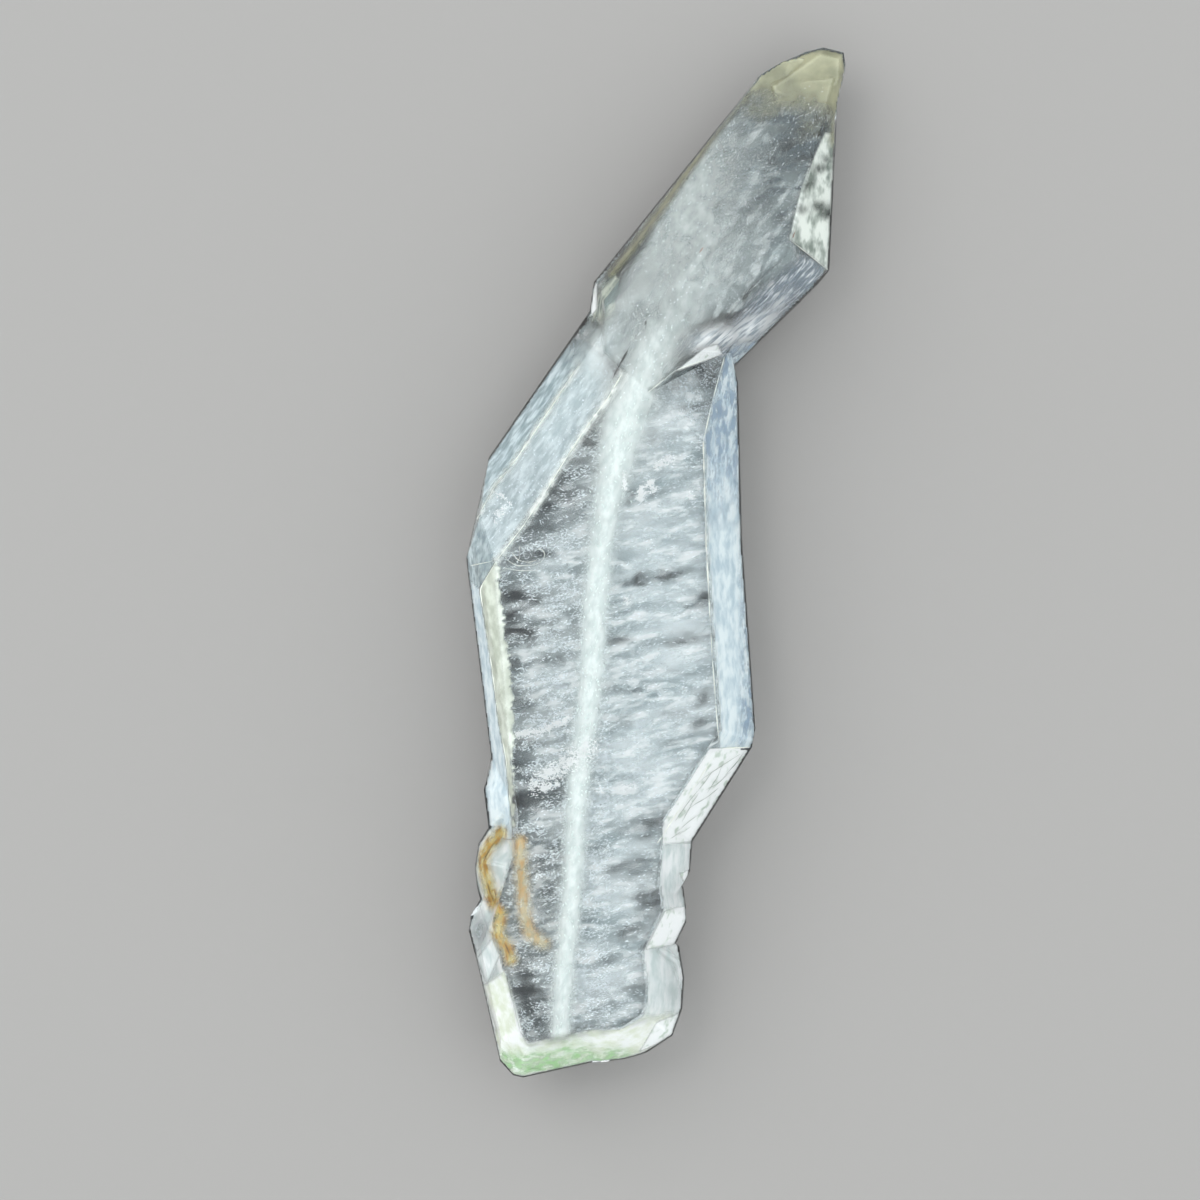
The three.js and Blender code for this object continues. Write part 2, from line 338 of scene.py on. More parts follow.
def film(name, share, material, depth, step=1):
    """A closed thin sheet that follows the front at a depth, wherever its share isn't too small.

    Its haze attribute is the share, which fades out where the crystal thins towards its outline.
    """
    skin = skin_map[::step, ::step]
    under = under_map[::step, ::step]
    i, j = np.meshgrid(np.arange(skin.shape[0]), np.arange(skin.shape[1]), indexing="ij")
    x, y = map_corner[0] + GRID * step * i, map_corner[1] + GRID * step * j
    there = np.isfinite(skin)
    skin = np.where(there, skin, 0)
    under = np.where(there, under, 99)
    top = skin - depth
    dense = share(x, y) * soft_step(top - under, 0.1, 0.6)
    kept = there & (top - FILM_THICKNESS > under + SKIN_ROOM)
    cells = kept[:-1, :-1] & kept[1:, :-1] & kept[:-1, 1:] & kept[1:, 1:]
    most = np.maximum.reduce([dense[:-1, :-1], dense[1:, :-1], dense[:-1, 1:], dense[1:, 1:]])
    cells &= most > LEAST_SHARE
    wide = np.pad(cells, 1)
    number = np.arange(kept.size).reshape(kept.shape)
    a, b = number[:-1, :-1][cells], number[1:, :-1][cells]
    c, d = number[1:, 1:][cells], number[:-1, 1:][cells]
    faces = [np.stack([a, b, c, d], 1), np.stack([d, c, b, a], 1) + kept.size]
    for (p, q), beyond in (
        ((a, b), wide[1:-1, :-2]),
        ((b, c), wide[2:, 1:-1]),
        ((c, d), wide[1:-1, 2:]),
        ((d, a), wide[:-2, 1:-1]),
    ):
        bare = ~beyond[cells]
        faces.append(np.stack([q[bare], p[bare], p[bare] + kept.size, q[bare] + kept.size], 1))
    faces = np.concatenate(faces)
    points = np.stack([x.ravel(), y.ravel(), top.ravel()], 1)
    points = np.concatenate([points, points - [0, 0, FILM_THICKNESS]])
    used, faces = np.unique(faces, return_inverse=True)
    made = sealed(name, points[used], faces.reshape(-1, 4).tolist(), material)
    made.data.shade_smooth()
    haze = made.data.attributes.new("haze", "FLOAT", "POINT")
    haze.data.foreach_set("value", np.tile(dense.ravel(), 2)[used].astype(np.float32))
    return made


def scatter(count, density, box, depth, random):
    """Points inside the quartz, as likely at each place as density says, depth 0 front to 1 back."""
    found, total = [], 0
    (x0, y1), (x1, y0) = photo(box[0], box[1]), photo(box[2], box[3])
    for _ in range(ROUNDS):
        x = random.uniform(x0, x1, DRAWS)
        y = random.uniform(y0, y1, DRAWS)
        kept = random.random(DRAWS) < density(x, y)
        x, y = x[kept], y[kept]
        front = look_up(front_map, x, y, -np.inf)
        back = look_up(back_map, x, y, np.inf)
        kept = front - back > 2 * SKIN_ROOM
        x, y, front, back = x[kept], y[kept], front[kept], back[kept]
        z = front - SKIN_ROOM - (front - back - 2 * SKIN_ROOM) * random.uniform(*depth, len(x))
        found.append(np.stack([x, y, z], 1))
        total += len(x)
        if total >= count:
            break
    return np.concatenate(found)[:count]


def flecks(name, density, box, material, count, seed, depth, turn, lengths, widths, keep=None):
    """Closed slivers scattered by a density: one edge along the turn, one lower edge across it.

    Depth runs from 0 at the front to 1 at the back. Turn is a middle angle in degrees and its
    spread in radians, or None for any direction. Lengths and widths are drawn evenly between
    two sizes in millimetres.
    """
    random = np.random.default_rng(seed)
    middles = scatter(count, density, box, depth, random)
    if keep:
        middles = middles[keep(middles)]
    n = len(middles)
    if turn:
        turns = math.radians(turn[0]) + random.normal(0, turn[1], n)
    else:
        turns = random.uniform(0, math.pi, n)
    lengths = random.uniform(*lengths, n)[:, None]
    widths = random.uniform(*widths, n)[:, None]
    d = np.stack([np.cos(turns), np.sin(turns), random.normal(0, FLECK_TILT, n)], 1)
    d /= np.linalg.norm(d, axis=1)[:, None]
    up = random.normal(0, FLECK_TILT, (n, 3)) + [0, 0, 1]
    e = np.cross(up, d)
    e /= np.linalg.norm(e, axis=1)[:, None]
    along, across, rise = d * lengths / 2, e * widths / 2, np.cross(d, e) * widths / 16
    corners = [
        middles + along + rise,
        middles - along + rise,
        middles + across - rise,
        middles - across - rise,
    ]
    faces = np.array([[0, 2, 1], [0, 1, 3], [0, 3, 2], [1, 2, 3]])
    faces = (faces[None] + 4 * np.arange(n)[:, None, None]).reshape(-1, 3)
    return sealed(name, np.stack(corners, axis=1).reshape(-1, 3), faces.tolist(), material)


def clouded(name, dark, light, grain, limits=(0.35, 0.65), cover=None, tilt=0, stretch=1):
    """A matt white or tinted film that clouds from one colour to another by noise: haze in most pieces,
    painted light and shade in some.

    Grain is the size of its clouds in millimetres, drawn out along the tilt in degrees by stretch.
    Where a cover is given, it runs with the colour and is thinned by the piece's haze attribute.
    """
    material, tree, shader = surface(name, {"Roughness": 0.6})
    where = node(tree, "ShaderNodeTexCoord")
    placed = node(
        tree,
        "ShaderNodeMapping",
        {"vector_type": "TEXTURE", "Rotation": (0, 0, math.radians(tilt)), "Scale": (stretch, 1, 1)},
        {"Vector": where.outputs["Object"]},
    )
    noise = node(
        tree,
        "ShaderNodeTexNoise",
        {"Scale": 1 / (grain * MM), "Detail": 3.0, "Roughness": 0.55, "Distortion": 0.1},
        {"Vector": placed.outputs["Vector"]},
    )
    ramp = node(tree, "ShaderNodeValToRGB", links={"Fac": noise.outputs["Fac"]})
    for element, place, colour in zip(ramp.color_ramp.elements, limits, (dark, light)):
        element.position = place
        element.color = linear(colour)
    tree.links.new(ramp.outputs["Color"], shader.inputs["Base Color"])
    if cover:
        haze = node(tree, "ShaderNodeAttribute", {"attribute_name": "haze"})
        spread = node(
            tree,
            "ShaderNodeMapRange",
            {
                "interpolation_type": "SMOOTHSTEP",
                "From Min": limits[0],
                "From Max": limits[1],
                "To Min": cover[0],
                "To Max": cover[1],
            },
            {"Value": noise.outputs["Fac"]},
        )
        seen = node(
            tree,
            "ShaderNodeMath",
            {"operation": "MULTIPLY"},
            {0: spread.outputs["Result"], 1: haze.outputs["Fac"]},
        )
        tree.links.new(seen.outputs["Value"], shader.inputs["Alpha"])
    return material


thread_spots = polyline(THREAD)


def thread_side(x, y):
    """Distance to the right of the thread, in mm: x less the thread's x at the same y."""
    return x - np.interp(y, thread_spots[:, 1], thread_spots[:, 0])


def thread_core(material):
    """A closed flat tube along the thread, half as high as wide, swelling and pinching by noise."""
    y = np.linspace(thread_spots[0, 1] + 0.1, photo(0, CORE_TOP)[1], CORE_RINGS)
    x = smooth(np.interp(y, thread_spots[:, 1], thread_spots[:, 0]), 15)
    z = smooth(look_up(front_map, x, y, 0) - CORE_DEPTH, 15)
    turn = np.linspace(0, 2 * np.pi, CORE_SIDES, endpoint=False)[None, :]
    grow = 0.27 + 0.08 * soft_step(y, *LOW_SWELL) + 0.12 * soft_step(y, *HIGH_SWELL)
    from_ends = np.minimum(np.arange(CORE_RINGS) / 12, np.arange(CORE_RINGS)[::-1] / 90)
    ends = np.clip(from_ends, 0.02, 1) ** 0.6
    lumps = 1 + 0.5 * (cloud(y[:, None] / 0.35 + 0 * turn, 2 * np.cos(turn) + 9, 5) - 0.5)
    radius = (grow * ends)[:, None] * lumps
    across = x[:, None] + radius * np.cos(turn)
    height = z[:, None] + 0.5 * radius * np.sin(turn)
    points = np.stack([across, y[:, None] + 0 * turn, height], axis=2).reshape(-1, 3)
    made = sealed("thread_core", points, tube_faces(0, CORE_RINGS, CORE_SIDES), material)
    made.data.shade_smooth()
    return made


def thread_density(x, y):
    """A bell across the thread that widens upwards and fades where the fan begins."""
    swell = 0.1 * soft_step(y, *LOW_SWELL) + 0.3 * soft_step(y, *HIGH_SWELL)
    swell = swell + 0.8 * soft_step(y, *FAN_SWELL)
    fade = 1 - 0.97 * soft_step(y, 7, 11)
    return np.exp(-((thread_side(x, y) / (0.36 + swell)) ** 2)) * fade * (y > photo(0, FLECKS_FOOT)[1])


def thread_glow(x, y):
    """Soft flanks beside the core, which open upwards into a broad fan of milky streaks."""
    swell = 0.12 * soft_step(y, *LOW_SWELL) + 0.55 * soft_step(y, *HIGH_SWELL)
    swell = swell + 1.8 * soft_step(y, *GLOW_SWELL)
    strength = 0.98 - 0.6 * soft_step(y, 8, 16)
    ragged = 0.75 + 0.5 * cloud(x / 0.5 + y / 3, y / 0.6, 92)
    bell = np.exp(-((thread_side(x, y) / (0.46 + swell)) ** 2))
    return np.clip(bell * strength * ragged, 0, 1) * (y > photo(0, GLOW_FOOT)[1])


# Quartz full of bubbles too small to see one by one is a soft, even white.
thread_bubbles = clouded("bubble_filled_quartz", "#dfe9e6", "#fafffc", grain=0.6)
# Where the bubbles thin out beside the core, the white turns to a see-through glow.
glow_stuff = clouded(
    "thread_flank_bubbles", "#ebf3f1", "#fcfffd",
    grain=0.35, limits=(0.3, 0.65), cover=(0.75, 0.95), tilt=75, stretch=2,
)
thread_core(thread_bubbles)
film("thread_glow", thread_glow, glow_stuff, depth=GLOW_DEPTH)
flecks(
    "thread_flecks", thread_density, THREAD_BOX, thread_bubbles,
    count=9000, depth=(0.02, 0.25), seed=11, turn=(80, 0.6), lengths=(0.1, 0.26), widths=(0.05, 0.10),
)

# Veils. Healed cracks that run across the thread and lean a little, made of swarms of tiny bubbles.
# They are milky and even on the thread's right, torn into wisps on its left, and clear gaps between
# them look down onto a deep sheet of painted shade. They are films at three depths, the deepest of
# them that sheet of painted shade, and slivers between these.
VEIL_TILT = 11
FACE_HEIGHT = 7.6
FACE_TOP = [(560, 330), (590, 345), (618, 372), (647, 393), (690, 362), (705, 344), (765, 340)]
FACE_CORNER = [(640, 388), (702, 446), (726, 352)]
SHADE_DEPTH = 5.6
DEEP_DEPTH = 2.9
HIGH_DEPTH = 1.3
BESIDE_THREAD = 0.35
BEHIND_THREAD = 6.2
LEFT_BOX = (490, 340, 610, 1060)
RIGHT_BOX = (555, 340, 740, 1060)
# Each gap is a pixel, two radii in pixels, a turn in degrees and how clear it is.
GAPS = [
    ((532, 502), (40, 32), 58, 1.0), ((556, 466), (16, 13), 45, 0.85), ((588, 440), (15, 9), 40, 0.95),
    ((532, 556), (24, 9), 10, 1.0), ((514, 596), (20, 9), 8, 1.0), ((530, 600), (20, 7), 8, 0.8),
    ((510, 614), (12, 6), 4, 1.0), ((516, 632), (22, 8), 4, 1.0), ((512, 662), (12, 5), 0, 0.8),
    ((545, 662), (22, 6), 12, 0.6), ((530, 700), (18, 8), 12, 0.6), ((520, 745), (14, 8), 15, 0.7),
    ((532, 798), (24, 12), 18, 1.0), ((515, 775), (10, 14), 0, 1.0), ((548, 790), (18, 8), 20, 0.7),
    ((528, 985), (11, 32), 0, 0.95), ((538, 1010), (14, 16), 0, 0.8), ((545, 860), (16, 9), 10, 0.7),
    ((545, 895), (10, 14), 0, 0.6), ((560, 845), (10, 8), 0, 0.4), ((600, 640), (10, 5), 0, 0.3),
    ((700, 378), (24, 18), -30, 1.0), ((712, 400), (10, 14), 0, 1.0), ((668, 392), (20, 8), 20, 0.6),
    ((642, 408), (8, 8), 0, 0.7), ((690, 412), (26, 6), 5, 0.6), ((660, 440), (26, 6), 15, 0.35),
    ((690, 420), (10, 10), 0, 0.4), ((625, 498), (14, 8), 0, 0.5), ((655, 495), (24, 8), 10, 0.4),
    ((638, 580), (16, 5), 12, 0.95), ((668, 575), (20, 7), 8, 0.9), ((698, 600), (14, 8), 5, 0.9),
    ((705, 572), (12, 5), 5, 0.5), ((622, 641), (20, 5), 6, 0.8), ((680, 640), (34, 6), 5, 0.8),
    ((625, 690), (22, 6), 10, 0.5), ((672, 672), (40, 4), 3, 0.3), ((698, 697), (14, 10), 10, 0.7),
    ((700, 725), (18, 12), 10, 0.85), ((672, 712), (14, 8), 10, 0.5), ((620, 720), (16, 6), 15, 0.45),
    ((672, 745), (14, 5), 10, 0.5), ((650, 822), (34, 12), 12, 0.8), ((645, 835), (22, 8), 12, 0.6),
    ((600, 850), (16, 8), 10, 0.4), ((632, 868), (26, 12), 15, 0.85), ((650, 900), (18, 22), -20, 0.8),
    ((632, 930), (20, 8), 20, 0.8), ((610, 960), (18, 8), 20, 0.5), ((600, 1000), (20, 14), 30, 0.45),
    ((635, 985), (20, 12), 30, 0.5), ((590, 925), (10, 12), 20, 0.3),
]
# Where the thread's left is whiter, in the same form.
BRIGHTER = [
    ((575, 690), (40, 60), 0, 1), ((560, 560), (40, 40), 0, 0.6), ((560, 760), (30, 20), 0, 0.8),
    ((590, 850), (24, 60), 0, 0.5), ((570, 960), (20, 60), 0, 0.6),
]


def above(x, y, line, soft):
    """1 above a line of photo pixels that runs across the picture, over soft millimetres."""
    spots = np.array(sorted(photo(*p) for p in line))
    return soft_step(y - np.interp(x, spots[:, 0], spots[:, 1]), -soft / 2, soft / 2)


def inside(x, y, outline, soft=0.1):
    """1 well inside a convex outline of photo pixels and 0 outside it, over soft millimetres."""
    spots = polyline(outline)
    middle = spots.mean(0)
    least = np.full(np.shape(x), np.inf)
    for a, b in zip(spots, np.roll(spots, -1, 0)):
        normal = np.array([a[1] - b[1], b[0] - a[0]]) / np.hypot(*(b - a))
        if (middle - a) @ normal < 0:
            normal = -normal
        least = np.minimum(least, (x - a[0]) * normal[0] + (y - a[1]) * normal[1])
    return soft_step(least, -soft / 2, soft / 2)


def blots(x, y, rows):
    """The strongest of several soft ellipses, each a bell over its two turned radii."""
    share = np.zeros_like(x)
    for spot, radii, turn, depth in rows:
        cx, cy = photo(*spot)
        c, s = math.cos(math.radians(turn)), math.sin(math.radians(turn))
        u = ((x - cx) * c + (y - cy) * s) / (radii[0] * PX)
        v = ((y - cy) * c - (x - cx) * s) / (radii[1] * PX)
        share = np.maximum(share, depth * np.exp(-(u * u + v * v)))
    return share


def streaks(x, y, long, wide, tilt, seed):
    """Noise drawn out along a direction that bends a little, a coarse and a fine size added."""
    tilt = math.radians(tilt)
    bend = 0.9 * (cloud(x / 5, y / 5, seed + 3) - 0.5)
    u = x * math.cos(tilt) + y * math.sin(tilt)
    v = y * math.cos(tilt) - x * math.sin(tilt) + bend
    coarse = cloud(u / long, v / wide, seed)
    fine = cloud(u / long * 2.6, v / wide * 2.6, seed + 1)
    return 0.62 * coarse + 0.38 * fine


def face_share(x, y):
    """1 on the flat front face below the upper blade's foot."""
    skin = look_up(skin_map, x, y, 0)
    flat = soft_step(skin, FACE_HEIGHT - 0.5, FACE_HEIGHT - 0.1)
    return np.maximum(flat, inside(x, y, FACE_CORNER)) * (1 - above(x, y, FACE_TOP, 0.3))


def gap_share(x, y):
    """The gaps, their outlines pulled out of shape and broken up by noise."""
    u = x + 1.2 * (cloud(x / 0.9, y / 0.45, 95) - 0.5) + 0.5 * (cloud(x / 0.3, y / 0.2, 96) - 0.5)
    v = y + 0.5 * (cloud(x / 0.9, y / 0.45, 97) - 0.5)
    return blots(u, v, GAPS) * (0.7 + 0.3 * soft_step(streaks(x, y, 1.2, 0.3, VEIL_TILT, 98), 0.3, 0.6))


def open_share(x, y):
    """The front face but for its gaps."""
    return face_share(x, y) * (1 - gap_share(x, y)) ** 1.6


def veil_density(x, y):
    """Dense in wisps on the flat front face, torn on the thread's left, milky on its right."""
    left = soft_step(-thread_side(x, y), 0.2, 0.8)
    bands = soft_step(streaks(x, y, 5, 1.0, VEIL_TILT, 41), 0.3, 0.62)
    long = streaks(x, y, 1.6, 0.32, VEIL_TILT, 21)
    short = streaks(x, y, 0.6, 0.28, 40, 31)
    torn = soft_step(0.5 * short + 0.5 * long, 0.40, 0.62) * (0.35 + 0.65 * bands) + 0.04
    milky = 0.25 + 0.75 * soft_step(long, 0.35, 0.65) * (0.5 + 0.5 * bands)
    return open_share(x, y) * (left * torn + (1 - left) * milky)


def left_tone(x, y):
    """How white the thread's left is: dim in the upper corner and at the edge, brighter inwards."""
    patches = 0.25 * (cloud(x / 2.5, y / 1.2, 93) - 0.5)
    return np.clip(0.30 + 0.7 * blots(x, y, BRIGHTER) + patches, 0, 1)


def deep_share(x, y):
    """The open face, as white as its tone on the thread's left and full on its right."""
    return open_share(x, y) * np.where(thread_side(x, y) < 0, left_tone(x, y), 1)


def high_share(x, y):
    """The open face, between 0.4 and 1 by its tone on the left and 0.85 on the right."""
    return open_share(x, y) * np.where(thread_side(x, y) < 0, 0.4 + 0.6 * left_tone(x, y), 0.85)


def clear_of_thread(spots):
    """True for points far enough beside the thread or low enough behind it."""
    beside = np.abs(thread_side(spots[:, 0], spots[:, 1])) > BESIDE_THREAD
    return beside | (spots[:, 2] < BEHIND_THREAD)


# Painted shade: a dark sheet deep in the quartz stands for the dark that clear quartz shows between
# the veils, since deep clear quartz sends little light back.
deep_shade = clouded(
    "painted_deep_shade", "#192228", "#34424a", grain=2.5, limits=(0.35, 0.65), cover=(0.92, 0.8)
)
# A healed crack seen from above is a cool white cloud, streaked along the crack.
deep_veil = clouded(
    "deep_healed_veil", "#cbd9dd", "#f9fdfe",
    grain=1.6, limits=(0.32, 0.58), cover=(0.6, 0.98), tilt=VEIL_TILT, stretch=3.0,
)
# Nearer the front the same veil is torn into whiter shreds, with clear quartz between them.
high_veil = clouded(
    "high_healed_veil", "#d5e2e4", "#ffffff",
    grain=0.5, limits=(0.42, 0.66), cover=(0.05, 0.82), tilt=VEIL_TILT, stretch=2.8,
)
# Single larger bubbles and crack tips catch the light as fine white threads.
veil_bubbles, _, _ = surface(
    "healed_fracture_veil", {"Base Color": linear("#f6fbff"), "Roughness": 0.5}
)
film("deep_shade", face_share, deep_shade, depth=SHADE_DEPTH, step=2)
film("deep_veil", deep_share, deep_veil, depth=DEEP_DEPTH, step=2)
film("high_veil", high_share, high_veil, depth=HIGH_DEPTH, step=2)
for name, count, box, seed, spread in (
    ("veils_left", 16000, LEFT_BOX, 12, 0.6),
    ("veils_right", 7000, RIGHT_BOX, 13, 0.35),
):
    flecks(
        name, veil_density, box, veil_bubbles,
        count=count, depth=(0.03, 0.5), seed=seed, turn=(VEIL_TILT, spread),
        lengths=(0.12, 0.28), widths=(0.03, 0.065), keep=clear_of_thread,
    )

# Milk. The bent upper blade is clouded all through by bubbles in streaks along the blade, thinner in
# a few patches, where a deep sheet of painted shade shows dark. A brighter band of them runs down
# into the thread, and its end facet and left edge are streaked, the left edge with a pale rim of
# painted light.
MILK_TILT = 58
UPPER_BOX = (588, 40, 850, 400)
THIN_SPOTS = [
    ((790, 150), (24, 16), -20, 0.8), ((800, 135), (14, 8), 0, 0.8), ((780, 220), (16, 12), 0, 0.5),
    ((730, 215), (26, 10), 0, 0.35), ((622, 292), (10, 22), -35, 0.8), ((640, 262), (8, 16), -35, 0.5),
    ((690, 240), (10, 30), -35, 0.2), ((600, 322), (10, 14), 0, 0.4), ((655, 205), (5, 26), -32, 0.6),
]
DARK_PATCHES = [
    ((790, 150), (24, 16), -20, 1), ((802, 133), (14, 8), 0, 0.9), ((622, 292), (8, 20), -35, 0.9),
    ((782, 222), (16, 10), 0, 0.7), ((730, 212), (26, 6), -15, 0.5), ((775, 165), (30, 8), -15, 0.6),
    ((820, 118), (8, 20), 0, 0.4),
]
CLEAR_WINDOW = [(775, 96), (828, 108), (812, 168), (758, 174)]
CLEAR_STRIP = [(758, 174), (812, 168), (790, 250), (710, 250)]
END_FACET = [(829, 272), (740, 382), (712, 346), (752, 300), (800, 258)]
BAND = [(700, 170), (672, 225), (640, 290), (604, 352), (576, 398), (552, 442)]
BAND_FADE = [(560, 330), (700, 330)]
WEDGE_GLOW = [((738, 338), (40, 12), 15, 1)]
SHADE_STREAK_FOOT = [(600, 252), (840, 226)]
LEFT_EDGE = [(600, 312), (618, 284), (655, 226), (712, 140), (745, 95)]


def along_line(x, y, line, width):
    """1 on a line of photo pixels, falling off across it as a bell that is width pixels wide."""
    spots = polyline(line)
    near = np.full(np.shape(x), np.inf)
    for a, b in zip(spots[:-1], spots[1:]):
        step = b - a
        t = np.clip(((x - a[0]) * step[0] + (y - a[1]) * step[1]) / (step @ step), 0, 1)
        near = np.minimum(near, np.hypot(x - a[0] - t * step[0], y - a[1] - t * step[1]))
    return np.exp(-((near / (width * PX / 2)) ** 2))


def upper_blade(x, y):
    """1 on the upper blade, above its foot."""
    return above(x, y, FACE_TOP, 0.3)


def upper_density(x, y):
    """An even milky cloud in the upper blade, thinner in a few dark patches."""
    mist = 0.62 + 0.38 * streaks(x, y, 5, 0.9, MILK_TILT, 51)
    return upper_blade(x, y) * mist * (1 - blots(x, y, THIN_SPOTS))


def upper_milk(x, y):
    """The whole upper blade but for its dark patches and two clearer windows near the tip."""
    windows = 0.28 * inside(x, y, CLEAR_WINDOW, 0.5) + 0.15 * inside(x, y, CLEAR_STRIP, 0.6)
    return upper_blade(x, y) * (1 - 0.95 * blots(x, y, DARK_PATCHES)) * (1 - windows)


def end_share(x, y):
    """Strong on the facet at the upper blade's lower right, soft at its outline."""
    return 0.9 * inside(x, y, END_FACET, 0.8)


def band_share(x, y):
    """Strong where the band joins the thread, weak up the blade, and a bright spot by the wedge."""
    band = along_line(x, y, BAND, 40) * (0.9 - 0.45 * above(x, y, BAND_FADE, 4.0))
    return np.maximum(band, blots(x, y, WEDGE_GLOW))


def shade_streak_share(x, y):
    """Faint streaks of painted shade across the upper blade, strongest near its top."""
    return above(x, y, FACE_TOP, 0.5) * (0.15 + 0.85 * above(x, y, SHADE_STREAK_FOOT, 5.0))


def edge_share(x, y):
    """A strip of painted light along the upper blade's left edge, full to near its sides."""
    return along_line(x, y, LEFT_EDGE, 13) ** 0.5


# Milky quartz is a dull grey white that lets a little of the depth through.
upper_cloud = clouded(
    "grey_milky_quartz", "#8e999c", "#bdc9ca",
    grain=2.0, limits=(0.36, 0.64), cover=(0.75, 0.95), tilt=MILK_TILT, stretch=3,
)
# Denser streams of bubbles in the milk stand out as thin white wisps.
upper_wisp = clouded(
    "upper_blade_wisps", "#cbd5d5", "#f6faf9",
    grain=0.5, limits=(0.44, 0.7), cover=(0.0, 0.55), tilt=MILK_TILT, stretch=4,
)
# Fine growth lines on the end facet show as bright streaks with blue glass between them.
end_streaks = clouded(
    "streaked_end_facet", "#b4c3d2", "#ffffff",
    grain=0.2, limits=(0.48, 0.64), cover=(0.3, 0.95), tilt=42, stretch=5,
)
# The band is dense milk, nearly opaque and as white as the thread.
milky_band = clouded(
    "milky_band", "#d8e3e4", "#f8fcfa",
    grain=1.4, limits=(0.32, 0.6), cover=(0.5, 0.9), tilt=MILK_TILT, stretch=3,
)
# Painted shade: clear stretches between two veils look dark, so dark streaks are painted there.
streak_shade = clouded(
    "painted_shade_streaks", "#6d7b81", "#54626a",
    grain=0.6, limits=(0.46, 0.66), cover=(0.0, 0.5), tilt=14, stretch=3.2,
)
# Painted light: a thin steep edge gathers the light of the milk behind it into a pale rim, painted
# here as a film.
edge_rim_light = clouded(
    "edge_facet_painted_rim", "#92a19e", "#ecefe2",
    grain=0.9, limits=(0.4, 0.58), cover=(0.55, 0.85), tilt=MILK_TILT, stretch=2.5,
)
# Painted shade: the same dark sheet lies deep under the upper blade and shows where its milk thins.
film("upper_shade", upper_blade, deep_shade, depth=3.0, step=2)
film("upper_milk", upper_milk, upper_cloud, depth=1.6, step=2)
film("upper_wisps", upper_milk, upper_wisp, depth=0.6, step=2)
film("end_facet", end_share, end_streaks, depth=0.35, step=2)
film("milky_band", band_share, milky_band, depth=0.5, step=2)
film("painted_shade_streaks", shade_streak_share, streak_shade, depth=0.45, step=2)
film("edge_facet", edge_share, edge_rim_light, depth=0.3)
flecks(
    "veils_upper", upper_density, UPPER_BOX, veil_bubbles,
    count=2600, depth=(0.0, 0.12), seed=14, turn=(MILK_TILT, 0.6),
    lengths=(0.07, 0.18), widths=(0.025, 0.05),
)

# Bevels. The slanting side faces, etched by the water that the crystal grew in, with a bluish white
# mist just under them. The two bands on the left are greyer, and a cream strip of clay-filled pores
# borders the front face there. The knobs and steps low on both sides are paler.
BEVEL_BOX = (465, 300, 760, 1080)
STRIP_LEFT = [(497, 560), (481, 589), (491, 653), (500, 721), (507, 757), (513, 817), (513, 830)]
FACE_LEFT = [
    (497, 555), (496, 573), (501, 612), (507, 660), (511, 704), (511, 755), (513, 817), (513, 830),
]
FACE_RIGHT = [(735, 340), (724, 357), (712, 400), (702, 442), (705, 547), (711, 655), (718, 747)]
STEEP_TOP = [(465, 575), (481, 589), (497, 563), (600, 540)]
CREAM_FOOT = [(480, 825), (520, 825)]
LEFT_FOOT = [(440, 838), (600, 838)]
FACET_TOP = [(600, 747), (780, 747)]
FACET_FOOT = [(600, 842), (780, 842)]
BAND_RIDGE = [(477, 520), (496, 487), (520, 456), (556, 402), (590, 350)]
BANDS_TOP = [(520, 330), (560, 352), (640, 420)]
GLEAM_EDGE = [(748, 340), (742, 400), (742, 690), (738, 747)]
GLEAM_FOOT = [(690, 480), (760, 480)]
GLASSY_SPOTS = [
    ((482, 930), (14, 22), 0, 0.75), ((492, 968), (10, 16), 20, 0.6), ((478, 900), (8, 14), 0, 0.5),
    ((497, 860), (8, 22), 0, 0.3), ((672, 980), (14, 30), 0, 0.35), ((675, 888), (12, 12), 0, 0.3),
]
KNOB_BAND = [(488, 832), (476, 866), (482, 898), (494, 925)]
STEP_EDGE = [(660, 948), (676, 962), (684, 990)]
CREAM_FACET = [(478, 958), (494, 936), (501, 952), (488, 982)]


def right_of(x, y, line, soft):
    """1 to the right of a line of photo pixels that runs up the picture, over soft millimetres."""
    spots = np.array(sorted((photo(*p) for p in line), key=lambda p: p[1]))
    return soft_step(x - np.interp(y, spots[:, 1], spots[:, 0]), -soft / 2, soft / 2)


def slope_share(x, y):
    """1 where the front isn't the flat face and not the upper blade."""
    skin = look_up(skin_map, x, y, FACE_HEIGHT)
    slope = 1 - soft_step(skin, FACE_HEIGHT - 0.16, FACE_HEIGHT - 0.06)
    return slope * (1 - above(x, y, FACE_TOP, 0.2))


def right_bevel(x, y):
    """The long bevel on the right, from the upper blade down to the bright facet."""
    return slope_share(x, y) * right_of(x, y, FACE_RIGHT, 0.1) * above(x, y, FACET_TOP, 0.1)


def left_bands(x, y):
    """Both bands on the slanting left, the inner one thinner, fading up into the upper blade."""
    bands = slope_share(x, y) * (thread_side(x, y) < 0) * above(x, y, STEEP_TOP, 0.1)
    inner = right_of(x, y, BAND_RIDGE, 0.3)
    return bands * (1 - 0.36 * inner) * (1 - 0.75 * above(x, y, BANDS_TOP, 3.0))


def gleam_share(x, y):
    """Painted blue glints in the upper part and along the outer edge of the right bevel."""
    outer = right_of(x, y, GLEAM_EDGE, 0.8)
    upper = above(x, y, GLEAM_FOOT, 8.0)
    return right_bevel(x, y) * np.clip(0.6 * outer + 0.6 * upper, 0, 0.85)


